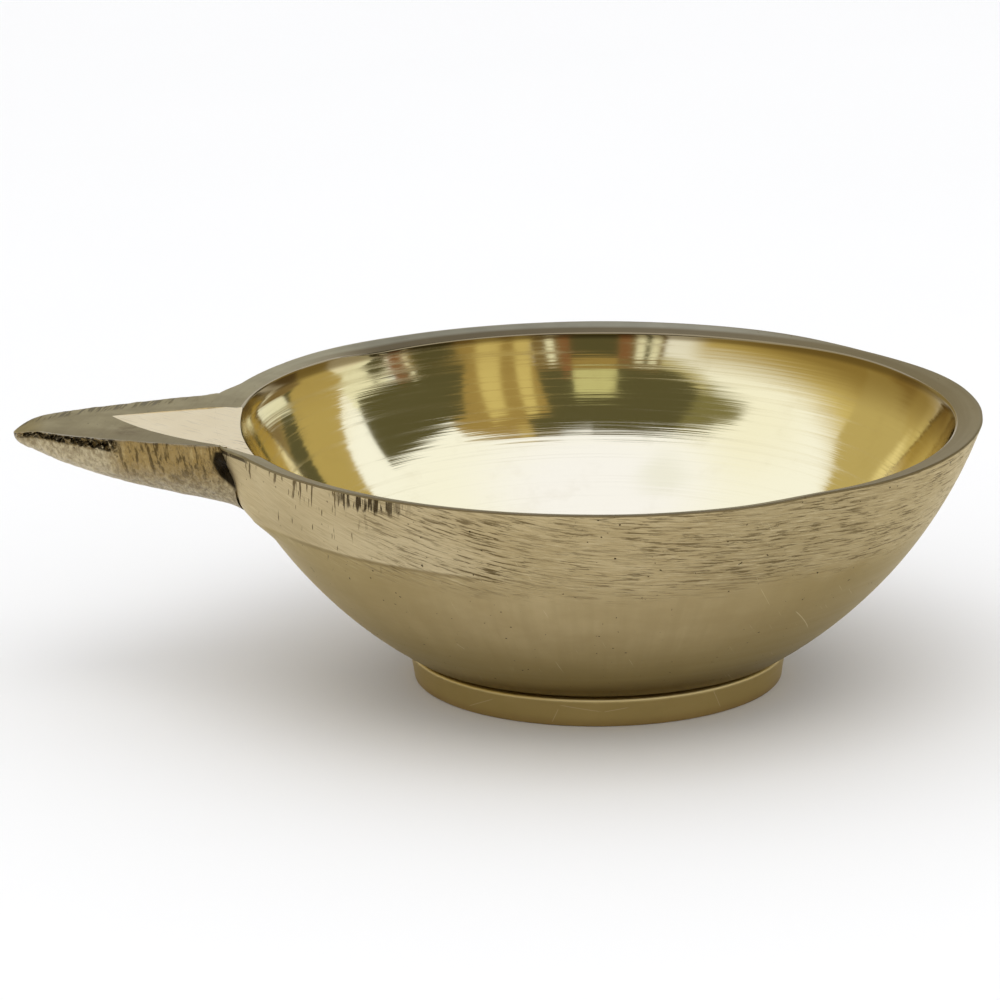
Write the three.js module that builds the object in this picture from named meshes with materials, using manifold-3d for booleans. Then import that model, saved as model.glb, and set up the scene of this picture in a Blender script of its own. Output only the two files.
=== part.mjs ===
// Cast brass diya oil lamp: a round turned bowl on a low foot ring, with a leaf-shaped wick spout.
// Millimetres, +Z up, the spout pointing along -X. The lamp is modelled about the bowl's axis, then
// moved so that the origin is the middle of its length and width, in the plane it stands on.

import * as THREE from "three";
import { mergeVertices } from "three/addons/utils/BufferGeometryUtils.js";
import { ParametricGeometry } from "three/addons/geometries/ParametricGeometry.js";
import Module from "manifold-3d";

// Bowl
const RIM_HEIGHT = 24.8;
const RIM_RADIUS = 35.2;
const RIM_WIDTH = 2.5;
const RIM_DISH = 0.45;            // how far the inner edge of the rim lies below the outer edge
const BODY_ARC_RADIUS = 42;
const BODY_BASE_RADIUS = 17.9;
const BODY_BASE_HEIGHT = 3.2;
const INSIDE_ARC_RADIUS = 37;
const FLOOR_RADIUS = 11;
const FLOOR_HEIGHT = 5.2;
const TURNED_SIDES = 80;
const ARC_STEPS = 9;

// Foot ring
const FOOT_HEIGHT = 2.85;
const FOOT_SEAT_RADIUS = 16.9;    // where the bowl's base meets the top of the ring
const FOOT_TOP_RADIUS = 17.4;
const FOOT_BASE_RADIUS = 17.0;
const FOOT_EDGE = 0.3;            // small chamfers on the ring's outer edges
const FOOT_RECESS_RADIUS = 14.0;
const FOOT_RECESS_DRAFT = 0.4;

// Spout: distances are measured from the bowl's axis
const TIP_DISTANCE = 53.2;
const ROOT_DISTANCE = 36;
const ROOT_HALF_WIDTH = 9.3;
const ROOT_DEPTH = 6.9;
const WIDTH_TAPER = 0.58;
const DEPTH_TAPER = 0.473;
const SPOUT_OVERRUN = 1.3;        // the loft runs on into the bowl by this share of the spout's length
const NOSE_LENGTH = 3;
const NOSE_DROOP = 0.8;
const SPOUT_STATIONS = 14;
const SECTION_STEPS = 24;
const JOINT_GAP = 0.3;

// Wick channel: one flat facet that starts at nothing at its apex, shallow along its back edge and
// deepest along its curved front edge, and runs out through the bowl's wall
const CHANNEL_APEX = [-44.3, 2.1];
const CHANNEL_BEND = [-40.5, -6.0];
const CHANNEL_FRONT = [-31.4, -10.9];
const CHANNEL_BACK = [-32.3, 5.2];
const CHANNEL_FRONT_DEPTH = 1.9;
const CHANNEL_BACK_DEPTH = 0.6;
const CHANNEL_MOUTH_X = -27;
const CHANNEL_CURVE_STEPS = 8;
const CUTTER_SIZE = 60;
const CUTTER_HEIGHT = 12;

// The bowl's axis lies this far along +X from the middle of the lamp's length.
const BOWL_AXIS_X = (TIP_DISTANCE - RIM_RADIUS) / 2;
const WELD_DISTANCE = 1e-4;

const TURNED_BRASS = brass(0xb8a468, 0.28);
const FILED_BRASS = brass(0xb39c68, 0.45);
const FOOT_BRASS = brass(0x8f7636, 0.38);

const wasm = await Module();
wasm.setup();

function brass(colour, roughness) {
  return new THREE.MeshStandardMaterial({ color: colour, roughness, metalness: 1 });
}

function solidOf(geometry) {
  const bare = geometry.clone();
  bare.deleteAttribute("normal");
  bare.deleteAttribute("uv");
  const merged = mergeVertices(bare, WELD_DISTANCE);
  const corners = Array.from(merged.index.array);
  const triangles = [];
  for (let i = 0; i < corners.length; i += 3) {
    const [a, b, c] = corners.slice(i, i + 3);
    if (a !== b && b !== c && c !== a) triangles.push(a, b, c);
  }
  return new wasm.Manifold(new wasm.Mesh({
    numProp: 3,
    vertProperties: new Float32Array(merged.attributes.position.array),
    triVerts: new Uint32Array(triangles),
  }));
}

function meshOf(name, solid, material) {
  const { vertProperties, triVerts } = solid.translate([BOWL_AXIS_X, 0, 0]).getMesh();
  const geometry = new THREE.BufferGeometry();
  geometry.setAttribute("position", new THREE.BufferAttribute(new Float32Array(vertProperties), 3));
  geometry.setIndex(new THREE.BufferAttribute(new Uint32Array(triVerts), 1));
  geometry.computeVertexNormals();
  const mesh = new THREE.Mesh(geometry, material);
  mesh.name = name;
  return mesh;
}

// Points along an arc of the given radius from start to end, bulging outwards and down.
function arcBetween(start, end, radius, steps) {
  const middle = start.clone().add(end).multiplyScalar(0.5);
  const chord = end.clone().sub(start);
  const rise = Math.sqrt(radius ** 2 - (chord.length() / 2) ** 2);
  const across = new THREE.Vector2(-chord.y, chord.x).normalize();
  if (across.x > 0) across.negate();
  const centre = middle.add(across.multiplyScalar(rise));
  const from = start.clone().sub(centre).angle();
  const sweep = end.clone().sub(centre).angle() - from;
  const turn = Math.atan2(Math.sin(sweep), Math.cos(sweep));
  const points = [];
  for (let i = 0; i <= steps; i += 1) {
    const angle = from + (turn * i) / steps;
    const offset = new THREE.Vector2(Math.cos(angle), Math.sin(angle)).multiplyScalar(radius);
    points.push(centre.clone().add(offset));
  }
  return points;
}

// A body turned about Z from a profile of (radius, height) points, listed from the bottom outwards and up.
function turned(profile) {
  const geometry = new THREE.LatheGeometry(profile, TURNED_SIDES);
  geometry.rotateX(Math.PI / 2);
  return geometry;
}

function outsideProfile(offset) {
  const base = new THREE.Vector2(BODY_BASE_RADIUS + offset, BODY_BASE_HEIGHT);
  const rim = new THREE.Vector2(RIM_RADIUS + offset, RIM_HEIGHT);
  return arcBetween(base, rim, BODY_ARC_RADIUS, ARC_STEPS);
}

function bowlBlank() {
  const innerEdge = new THREE.Vector2(RIM_RADIUS - RIM_WIDTH, RIM_HEIGHT - RIM_DISH);
  const floorEdge = new THREE.Vector2(FLOOR_RADIUS, FLOOR_HEIGHT);
  return solidOf(turned([
    new THREE.Vector2(0, FOOT_HEIGHT),
    new THREE.Vector2(FOOT_SEAT_RADIUS, FOOT_HEIGHT),
    ...outsideProfile(0),
    ...arcBetween(innerEdge, floorEdge, INSIDE_ARC_RADIUS, ARC_STEPS),
    new THREE.Vector2(0, FLOOR_HEIGHT),
  ]));
}

function footRing() {
  const corners = [
    [FOOT_RECESS_RADIUS + FOOT_RECESS_DRAFT, 0],
    [FOOT_BASE_RADIUS - FOOT_EDGE, 0],
    [FOOT_BASE_RADIUS, FOOT_EDGE],
    [FOOT_TOP_RADIUS, FOOT_HEIGHT - FOOT_EDGE],
    [FOOT_TOP_RADIUS - FOOT_EDGE, FOOT_HEIGHT],
    [FOOT_RECESS_RADIUS, FOOT_HEIGHT],
    [FOOT_RECESS_RADIUS + FOOT_RECESS_DRAFT, 0],
  ];
  return solidOf(turned(corners.map(([radius, height]) => new THREE.Vector2(radius, height))));
}

// The spout's own hull: a flat top over a half-elliptical keel, tapering to the tip. Its last station
// shrinks to a point inside the bowl, which closes the hull.
function spoutHull() {
  const length = TIP_DISTANCE - ROOT_DISTANCE;
  const place = (along, around, target) => {
    const closing = along === 1 ? 0 : 1;
    const share = SPOUT_OVERRUN * Math.min(1, (along * SPOUT_STATIONS) / (SPOUT_STATIONS - 1)) ** 2;
    const distance = TIP_DISTANCE - length * share;
    const halfWidth = ROOT_HALF_WIDTH * share ** WIDTH_TAPER * closing;
    const depth = ROOT_DEPTH * share ** DEPTH_TAPER * closing;
    const intoNose = Math.max(0, (distance - TIP_DISTANCE + NOSE_LENGTH) / NOSE_LENGTH);
    const top = RIM_HEIGHT - NOSE_DROOP * intoNose ** 2;
    const angle = -around * 2 * Math.PI;
    const below = Math.min(0, Math.sin(angle));
    target.set(-distance, halfWidth * Math.cos(angle), top + depth * below);
  };
  return solidOf(new ParametricGeometry(place, SPOUT_STATIONS, SECTION_STEPS));
}

// The space outside which the spout lies: the bowl's outer surface grown by the joint gap.
function bowlClearance() {
  const outside = outsideProfile(JOINT_GAP);
  const top = RIM_HEIGHT + CUTTER_HEIGHT;
  return solidOf(turned([
    new THREE.Vector2(0, BODY_BASE_HEIGHT),
    ...outside,
    new THREE.Vector2(RIM_RADIUS + JOINT_GAP, top),
    new THREE.Vector2(0, top),
  ]));
}

function channelCutter() {
  const outline = new THREE.Shape();
  outline.moveTo(...CHANNEL_APEX);
  outline.quadraticCurveTo(...CHANNEL_BEND, ...CHANNEL_FRONT);
  outline.lineTo(CHANNEL_MOUTH_X, CHANNEL_FRONT[1]);
  outline.lineTo(CHANNEL_MOUTH_X, CHANNEL_BACK[1]);
  outline.lineTo(...CHANNEL_BACK);
  const settings = { depth: CUTTER_HEIGHT, bevelEnabled: false, curveSegments: CHANNEL_CURVE_STEPS };
  const column = new THREE.ExtrudeGeometry(outline, settings);
  column.translate(0, 0, RIM_HEIGHT - CUTTER_HEIGHT / 2);

  const apex = new THREE.Vector3(...CHANNEL_APEX, RIM_HEIGHT);
  const front = new THREE.Vector3(...CHANNEL_FRONT, RIM_HEIGHT - CHANNEL_FRONT_DEPTH);
  const back = new THREE.Vector3(...CHANNEL_BACK, RIM_HEIGHT - CHANNEL_BACK_DEPTH);
  const along = back.clone().sub(apex).normalize();
  const normal = front.clone().sub(apex).cross(along).normalize();
  const across = normal.clone().cross(along);
  const aboveFacet = new THREE.BoxGeometry(CUTTER_SIZE, CUTTER_SIZE, CUTTER_HEIGHT);
  aboveFacet.translate(0, 0, CUTTER_HEIGHT / 2);
  aboveFacet.applyMatrix4(new THREE.Matrix4().makeBasis(along, across, normal).setPosition(apex));
  return solidOf(column).intersect(solidOf(aboveFacet));
}

const channel = channelCutter();
const lamp = new THREE.Group();
lamp.add(meshOf("bowl", bowlBlank().subtract(channel), TURNED_BRASS));
lamp.add(meshOf("spout", spoutHull().subtract(bowlClearance()).subtract(channel), FILED_BRASS));
lamp.add(meshOf("foot_ring", footRing(), FOOT_BRASS));

export default lamp;
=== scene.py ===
"""Looks for the cast brass diya lamp: fine meshes, brass finishes, studio light and camera.

Lengths in the shape code are millimetres measured from the bowl's axis, and to_row_frame turns
them into the row frame's metres.
"""
import math

import bmesh
import bpy
import numpy as np
from mathutils import Matrix, Vector, noise


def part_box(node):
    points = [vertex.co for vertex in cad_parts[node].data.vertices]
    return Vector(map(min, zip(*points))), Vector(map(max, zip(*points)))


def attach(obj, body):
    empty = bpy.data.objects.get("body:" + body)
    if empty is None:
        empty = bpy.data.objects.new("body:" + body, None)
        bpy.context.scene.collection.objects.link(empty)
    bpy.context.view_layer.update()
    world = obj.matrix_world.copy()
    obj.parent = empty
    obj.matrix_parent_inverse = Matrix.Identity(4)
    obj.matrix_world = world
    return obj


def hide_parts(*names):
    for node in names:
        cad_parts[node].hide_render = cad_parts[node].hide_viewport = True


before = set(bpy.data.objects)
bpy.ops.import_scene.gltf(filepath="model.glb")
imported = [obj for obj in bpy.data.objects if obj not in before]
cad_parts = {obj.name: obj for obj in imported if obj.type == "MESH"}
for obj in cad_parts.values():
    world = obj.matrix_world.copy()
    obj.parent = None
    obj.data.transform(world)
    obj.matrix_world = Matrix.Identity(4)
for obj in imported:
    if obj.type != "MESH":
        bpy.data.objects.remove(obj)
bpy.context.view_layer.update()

MM = 0.001

FOOT_LOW, FOOT_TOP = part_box("foot_ring")
BOWL_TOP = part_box("bowl")[1]
SPOUT_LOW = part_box("spout")[0]
AXIS_X = (FOOT_LOW.x + FOOT_TOP.x) / 2
RIM_HEIGHT = BOWL_TOP.z / MM
RIM_RADIUS = (BOWL_TOP.x - AXIS_X) / MM
FOOT_HEIGHT = FOOT_TOP.z / MM
FOOT_RADIUS = (FOOT_TOP.x - FOOT_LOW.x) / 2 / MM
TIP = (AXIS_X - SPOUT_LOW.x) / MM

# Bowl profile
BODY_ARC_RADIUS = 42
BODY_BASE = (17.9, 3.2)
INSIDE_ARC_RADIUS = 37
RIM_WIDTH = 2.5
RIM_DISH = 0.58
FLOOR_RADIUS = 11
FLOOR_HEIGHT = 5.2
SEAT_RADIUS = 16.85
BOWL_COLUMNS = 900
LOWER_ROWS = 15
BAND_ROWS = 36
BAND_BOTTOM = 14.8
INSIDE_ROWS = 30
EDGE_ROUND = 0.18

# How far the rim is out of round: direction and half width in degrees, shift in mm
RIM_DENTS = [(37.4, 25, -0.9), (-59.6, 14, -0.75), (133, 20, 0.3), (85, 14, 0.1), (-88, 12, 0.1)]
DENT_BOTTOM = 12

# The bowl stands out towards the spout, most of all low on the near side of the root
BOSS_HEIGHT = 0.8
BOSS_HALF_ANGLE = 23
BOSS_FADE = 8
BOSS_BOTTOM = 15
ROOT_BULGE = 0.9
ROOT_BULGE_DIRECTION = -168
ROOT_BULGE_HALF_ANGLE = 9
ROOT_BULGE_FOOT = (15, 18)
ROOT_BULGE_TOP = (18.3, 22.2)

# The stretch of rim behind the spout that is nearly flat
FLAT_DIRECTION = 157
FLAT_HALF_ANGLE = 33
FLAT_FADE = 14

# The hand-filed band on the outside of the bowl
BAND_EDGE_HEIGHT = 17.9
BAND_EDGE_DIRECTION = -128
BAND_EDGE_DROP = 0.0004
BAND_INSET = 0.13
STREAK_TILT = 0.06
STREAK_BEND = 0.0065

# Spout
ROOT_DISTANCE = 36
ROOT_HALF_WIDTH = 9.3
ROOT_DEPTH = 6.9
WIDTH_TAPER = 0.58
DEPTH_TAPER = 0.5
NOSE_LENGTH = 3
NOSE_DROOP = 0.8
SPOUT_ROWS = 250
SPOUT_SHORTEST = 5.0
SPOUT_LONGEST = 26.0
HALVINGS = 40
SPOUT_TOP_POINTS = 96
SPOUT_KEEL_POINTS = 160
CAVITY_LENGTH = 9.4
CAVITY_START = 0.34
CAVITY_SPREAD = 0.08
CAVITY_DEPTH = 0.55
CLEFT_DEPTH = 0.9
CLEFT_WIDTH = 0.2
CLEFT_SWELL = 0.75
CLEFT_MIDDLE = 1.7
CLEFT_LENGTH = 4.2
FILLET = 0.7
FILLET_LENGTH = 0.8
STAIN_PLACE = (-42.6, -3.2)
STAIN_SIZE = (1.8, 2.4)

# Foot ring
FOOT_COLUMNS = 720

# Wick channel: a facet through the apex, cut down to a curved front edge and a straight back edge
CHANNEL_APEX = (-44.3, 2.1)
CHANNEL_BEND = (-40.5, -6.0)
CHANNEL_FRONT = (-31.4, -10.9)
CHANNEL_BACK = (-32.3, 5.2)
CHANNEL_FRONT_DEPTH = 1.9
CHANNEL_BACK_DEPTH = 0.09
CHANNEL_MOUTH_X = -27
CUTTER_RISE = 4
CHANNEL_CURVE_POINTS = 40
SPOUT_CUT_LIFT = 0.004

# Pale hair scratches: both ends as degrees round the lamp and height
OUTSIDE_SCRATCHES = [((-55.6, 12.4), (-46, 9.2)), ((-122.6, 9.6), (-121.4, 8.9))]
FOOT_SCRATCHES = [((-57, 2.5), (-53, 0.5)), ((-137, 0.6), (-126, 2.0)), ((-107.8, 0.3), (-105.4, 1.8)),
                  ((-105.4, 2.1), (-92, 1.5)), ((-92, 1.5), (-84, 1.9))]
BODY_SCRATCH_RADIUS = 27
SCRATCH_WIDTH = 0.045

# Camera
LENS = 205.95
SENSOR = 36
VIEW_DISTANCE = 525
VIEW_AZIMUTH = -2.6
VIEW_ELEVATION = 15.464
VIEW_ROLL = -0.487
VIEW_TARGET = (-8.9355, 0, 16.5305)


# ---------------------------------------------------------------- shape helpers

def smooth(value, low, high):
    share = np.clip((value - low) / (high - low), 0, 1)
    return share * share * (3 - 2 * share)


def turn_difference(degrees, direction):
    return (degrees - direction + 180) % 360 - 180


def bumps(points, size, seed=0.0):
    """Perlin noise from -1 to 1 at each point; size is the feature length in mm, per axis or for all."""
    scaled = points / np.array(size) + seed
    return np.array([noise.noise(Vector(p)) for p in scaled.reshape(-1, 3)]).reshape(points.shape[:-1])


def to_row_frame(points):
    moved = np.array(points, float) * MM
    moved[..., 0] += AXIS_X
    return moved


def grid_faces(rows, columns):
    """Quads between rows of points that run all the way round."""
    row_start = np.arange(rows - 1)[:, None] * columns
    column = np.arange(columns)[None, :]
    here = row_start + column
    nextdoor = row_start + (column + 1) % columns
    return np.stack([here, nextdoor, nextdoor + columns, here + columns], -1).reshape(-1, 4)


def closed_tube(name, rows, start, end):
    """A mesh from rows of points round a tube, closed by a fan to one point at each end."""
    count, columns = rows.shape[:2]
    points = np.concatenate([rows.reshape(-1, 3), [start, end]])
    faces = grid_faces(count, columns).tolist()
    last = (count - 1) * columns
    around = list(range(columns))
    following = around[1:] + around[:1]
    faces += [[count * columns, b, a] for a, b in zip(around, following)]
    faces += [[count * columns + 1, last + a, last + b] for a, b in zip(around, following)]
    mesh = bpy.data.meshes.new(name)
    mesh.from_pydata(to_row_frame(points).tolist(), [], faces)
    mesh.update()
    return mesh


def new_piece(name, mesh):
    piece = bpy.data.objects.new(name, mesh)
    bpy.context.scene.collection.objects.link(piece)
    return piece


# ---------------------------------------------------------------- bowl

def arc_centre(start, end, radius):
    """The centre, on the bowl's side, of the arc between two profile points."""
    start, end = np.array(start, float), np.array(end, float)
    chord = end - start
    length = np.hypot(*chord)
    across = np.array([-chord[1], chord[0]]) / length
    if across[0] > 0:
        across = -across
    return (start + end) / 2 + across * math.sqrt(radius ** 2 - (length / 2) ** 2)


BODY_CENTRE = arc_centre(BODY_BASE, (RIM_RADIUS, RIM_HEIGHT), BODY_ARC_RADIUS)
INNER_EDGE = (RIM_RADIUS - RIM_WIDTH, RIM_HEIGHT - RIM_DISH)
INSIDE_CENTRE = arc_centre(INNER_EDGE, (FLOOR_RADIUS, FLOOR_HEIGHT), INSIDE_ARC_RADIUS)


def body_radius(height):
    return BODY_CENTRE[0] + np.sqrt(BODY_ARC_RADIUS ** 2 - (BODY_CENTRE[1] - height) ** 2)


def inside_height(radius):
    return INSIDE_CENTRE[1] - np.sqrt(INSIDE_ARC_RADIUS ** 2 - (radius - INSIDE_CENTRE[0]) ** 2)


def rim_shift(degrees, height):
    """How far the outside stands off the true circle: filed flats, and the boss and bulge at the spout."""
    dents = sum(
        shift * np.exp(-(turn_difference(degrees, direction) / (0.62 * half)) ** 2)
        for direction, half, shift in RIM_DENTS
    )
    from_spout = np.abs(turn_difference(degrees, 180))
    boss = BOSS_HEIGHT * smooth(BOSS_HALF_ANGLE - from_spout, 0, BOSS_FADE)
    aside = turn_difference(degrees, ROOT_BULGE_DIRECTION) / ROOT_BULGE_HALF_ANGLE
    bulge = ROOT_BULGE * np.exp(-aside ** 2)
    return (dents * smooth(height, DENT_BOTTOM, RIM_HEIGHT)
            + boss * smooth(height, BOSS_BOTTOM, RIM_HEIGHT)
            + bulge * smooth(height, *ROOT_BULGE_FOOT) * (1 - smooth(height, *ROOT_BULGE_TOP)))


def outside_radius(degrees, height):
    return body_radius(height) + rim_shift(degrees, height)


def band_mask(degrees, height):
    """1 inside the hand-filed band on the near left of the bowl, 0 outside it."""
    away = turn_difference(degrees, BAND_EDGE_DIRECTION)
    lower_edge = BAND_EDGE_HEIGHT - BAND_EDGE_DROP * away ** 2
    side = smooth(turn_difference(degrees, -176), 0, 4) * smooth(turn_difference(-106, degrees), 0, 14)
    return side * smooth(height, lower_edge - 0.12, lower_edge + 0.12)


def rim_height(radius, outer, degrees):
    """Height of the ground rim: it slopes down to its inner edge, but is nearly flat behind the spout."""
    share = np.clip((outer - radius) / RIM_WIDTH, 0, 1.1)
    at_spout = smooth(FLAT_HALF_ANGLE - np.abs(turn_difference(degrees, FLAT_DIRECTION)), 0, FLAT_FADE)
    return RIM_HEIGHT - RIM_DISH * (1 - 0.8 * at_spout) * share ** 1.15


def filed_outside(points, degrees, height, radius):
    """The outside's radius with its file marks, filed step and casting waviness."""
    upper = smooth(height, 14.5, 17)
    band = band_mask(degrees, height)
    streaked = points.copy()
    streaked[..., 2] += STREAK_TILT * points[..., 0] - STREAK_BEND * np.minimum(points[..., 0], 0) ** 2
    long_marks = bumps(streaked, (4.0, 4.0, 0.6), 3.1) + 0.6 * bumps(streaked, (2.4, 2.4, 0.36), 9.7)
    cuts = np.minimum(0, long_marks + 0.1)
    waviness = bumps(points, (9, 9, 5), 21.5)
    shift = radius + 0.035 * waviness - BAND_INSET * band
    shift += 0.07 * cuts * upper * (0.55 + 0.45 * band)
    return shift


def bowl_rows():
    """Rows of bowl points from under the foot seat, up the outside, over the rim and down inside."""
    degrees = np.arange(BOWL_COLUMNS) * 360.0 / BOWL_COLUMNS
    turn = np.radians(degrees)
    cos, sin = np.cos(turn), np.sin(turn)

    def row(radius, height):
        return np.stack([radius * cos, radius * sin, np.broadcast_to(height, radius.shape)], -1)

    rows, kinds = [], []

    def add(radius, height, kind):
        rows.append(row(np.broadcast_to(radius, degrees.shape).astype(float), height))
        kinds.append(kind)

    for radius in (4, 12, SEAT_RADIUS - 0.6, SEAT_RADIUS):
        add(radius, FOOT_HEIGHT, "outside")
    cove = [(SEAT_RADIUS + 0.06, 2.93), (SEAT_RADIUS + 0.3, 3.02), (BODY_BASE[0] - 0.25, 3.1), BODY_BASE]
    for radius, height in cove[:-1]:
        add(radius, height, "outside")

    lower = np.linspace(BODY_BASE[1], BAND_BOTTOM, LOWER_ROWS, endpoint=False)
    band = np.linspace(BAND_BOTTOM, RIM_HEIGHT - EDGE_ROUND, BAND_ROWS)
    for height in np.concatenate([lower, band]):
        heights = np.full(degrees.shape, height)
        radius = outside_radius(degrees, heights)
        here = row(radius, height)
        add(filed_outside(here, degrees, heights, radius), height, "outside")

    outer = outside_radius(degrees, np.full(degrees.shape, RIM_HEIGHT))
    edge = rows[-1][..., :2]
    worn_outer = np.hypot(edge[..., 0], edge[..., 1])
    for share in (0.35, 0.7, 1.0):
        angle = share * math.pi / 2
        inwards = EDGE_ROUND * (1 - math.cos(angle))
        height = RIM_HEIGHT - EDGE_ROUND * (1 - math.sin(angle))
        add(worn_outer - inwards + 0.02, height, "rim")

    inner = RIM_RADIUS - RIM_WIDTH
    for share in (0.12, 0.3, 0.5, 0.7, 0.86, 0.97):
        radius = worn_outer - EDGE_ROUND + share * (inner + 0.1 - worn_outer + EDGE_ROUND)
        add(radius, rim_height(radius, outer, degrees), "rim")

    lip = rim_height(np.full(degrees.shape, inner), outer, degrees)
    inside_start = inner - 0.16
    for radius, drop in ((inner + 0.03, 0.0), (inner - 0.02, 0.04), (inner - 0.07, 0.12)):
        add(radius, lip - drop, "inside")
    add(inside_start, inside_height(inside_start), "inside")
    low_turn = math.atan2(INSIDE_CENTRE[1] - FLOOR_HEIGHT, FLOOR_RADIUS - INSIDE_CENTRE[0])
    high_turn = math.atan2(INSIDE_CENTRE[1] - inside_height(inside_start), inside_start - INSIDE_CENTRE[0])
    for angle in np.linspace(high_turn, low_turn, INSIDE_ROWS)[1:-2]:
        add(INSIDE_CENTRE[0] + INSIDE_ARC_RADIUS * math.cos(angle),
            INSIDE_CENTRE[1] - INSIDE_ARC_RADIUS * math.sin(angle), "inside")
    for radius, rise in ((12.2, 0.42), (11.2, 0.2), (10.0, 0.07), (8.5, 0.01), (5, 0), (1.5, 0)):
        add(radius, FLOOR_HEIGHT + rise, "inside")
    return np.array(rows), kinds


# The finishes of each piece, in the order of its material slots
BOWL_KINDS = ["outside", "rim", "inside", "channel"]
SPOUT_KINDS = ["side", "top", "channel"]


def build_bowl():
    rows, kinds = bowl_rows()
    mesh = closed_tube("bowl_fine", rows, (0, 0, FOOT_HEIGHT), (0, 0, FLOOR_HEIGHT))
    index = np.repeat([BOWL_KINDS.index(kind) for kind in kinds[1:]], BOWL_COLUMNS)
    ends = np.repeat([BOWL_KINDS.index(kinds[0]), BOWL_KINDS.index(kinds[-1])], BOWL_COLUMNS)
    mesh.polygons.foreach_set("material_index", np.concatenate([index, ends]))
    return mesh


# ---------------------------------------------------------------- spout

def spout_section(from_tip):
    """Half width, depth and top height of the spout at a distance from its tip."""
    share = from_tip / (TIP - ROOT_DISTANCE)
    intake = np.clip(1 - from_tip / NOSE_LENGTH, 0, 1)
    top = RIM_HEIGHT - NOSE_DROOP * intake ** 2
    return ROOT_HALF_WIDTH * share ** WIDTH_TAPER, ROOT_DEPTH * share ** DEPTH_TAPER, top


def spout_points(from_tip, across, down):
    half, depth, top = spout_section(from_tip)
    return np.stack([from_tip - TIP, half * across, top - depth * down], -1)


def spout_rows():
    flat = np.linspace(1, -1, SPOUT_TOP_POINTS, endpoint=False)
    around = np.linspace(math.pi, 2 * math.pi, SPOUT_KEEL_POINTS, endpoint=False)
    across = np.concatenate([flat, np.cos(around)])
    down = np.concatenate([np.zeros_like(flat), -np.sin(around)])

    # Each line along the spout ends where it meets the bowl's outside, found by halving.
    low = np.full(across.shape, SPOUT_SHORTEST)
    high = np.full(across.shape, SPOUT_LONGEST)
    for _ in range(HALVINGS):
        middle = (low + high) / 2
        point = spout_points(middle, across, down)
        degrees = np.degrees(np.arctan2(point[..., 1], point[..., 0]))
        outside = np.hypot(point[..., 0], point[..., 1]) > outside_radius(degrees, point[..., 2])
        low = np.where(outside, middle, low)
        high = np.where(outside, high, middle)
    length = (low + high) / 2

    steps = (np.arange(1, SPOUT_ROWS + 1) / SPOUT_ROWS) ** 1.5
    from_tip = steps[:, None] * length[None, :]
    rows = spout_points(from_tip, across[None, :], down[None, :])
    return rows, across, down, from_tip, length


def rough_spout(rows, across, down, from_tip, length):
    """Casting lumps, cavities under the top edge, and the cleft where the spout meets the bowl."""
    half, depth, top = spout_section(from_tip)
    side = np.broadcast_to(down > 0, from_tip.shape)
    outward = np.stack([np.zeros_like(half), rows[..., 1] / np.maximum(half, 0.3) ** 2,
                        np.where(side, (rows[..., 2] - top) / np.maximum(depth, 0.3) ** 2, 0)], -1)
    outward /= np.maximum(np.linalg.norm(outward, axis=-1, keepdims=True), 1e-6)
    to_root = length[None, :] - from_tip
    below_top = top - rows[..., 2]

    slanted = rows.copy()
    slanted[..., 0] += 0.15 * rows[..., 2]
    keel = 1 - 0.6 * smooth(down, 0.75, 0.95)
    lumps = 0.12 * bumps(slanted, (1.6, 2.6, 3.0), 5.5) + 0.08 * bumps(slanted, (0.55, 0.9, 1.2), 12.1)
    lumps *= keel
    drips = 0.16 * np.minimum(0, bumps(slanted, (0.42, 1.2, 2.6), 33.3) + 0.1)
    drips *= np.exp(-(below_top / 2.6) ** 2)
    reach = CAVITY_START + CAVITY_SPREAD * from_tip
    ragged = reach * (1 + 0.5 * bumps(rows, (0.5, 0.5, 9), 18.4))
    hollow = smooth(below_top, 0.06, 0.16) * smooth(ragged - below_top, 0, 0.14)
    hollow *= smooth(CAVITY_LENGTH - from_tip, -0.6, 1.2)
    hollow *= smooth(bumps(rows, (0.6, 0.6, 0.5), 41.7), -0.28, 0.05)
    body = smooth(from_tip, 0.1, 1.6) * smooth(to_root, 0.0, 1.0)
    shift = np.where(side, (lumps + drips) * body - CAVITY_DEPTH * hollow * smooth(from_tip, 0.2, 1.5), 0)

    front = smooth(-rows[..., 1], -2, 3)
    width = CLEFT_WIDTH + CLEFT_SWELL * smooth(below_top, 0, CLEFT_MIDDLE)
    cleft = -CLEFT_DEPTH * np.exp(-(to_root / width) ** 2) * front
    cleft = cleft * smooth(below_top, 1.0, 3.0)
    cleft = cleft * (1 - smooth(below_top, CLEFT_LENGTH - 1.2, CLEFT_LENGTH + 0.3))
    fillet = np.where(side, FILLET * np.exp(-to_root / FILLET_LENGTH) * smooth(below_top, 4.0, 6.0), 0)
    shift = shift + np.where(side, cleft, 0) + fillet
    moved = rows + outward * shift[..., None]
    degrees = np.degrees(np.arctan2(rows[..., 1], rows[..., 0]))
    lowered = rows[..., 2] - fillet
    moved[..., 0] += outside_radius(degrees, rows[..., 2]) - outside_radius(degrees, lowered)

    edge_gap = half * (1 - np.abs(across))[None, :]
    edge_drop = 0.13 * np.exp(-edge_gap / 0.13) * (1 + 1.4 * bumps(rows, 0.9, 8.8))
    hammered = 0.018 * bumps(rows, (1.4, 1.4, 5), 15.2)
    settle = np.where(side, 0, (hammered - edge_drop) * smooth(to_root, 0, 1.2) * smooth(from_tip, 0, 1))
    moved[..., 2] += settle
    return moved


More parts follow.
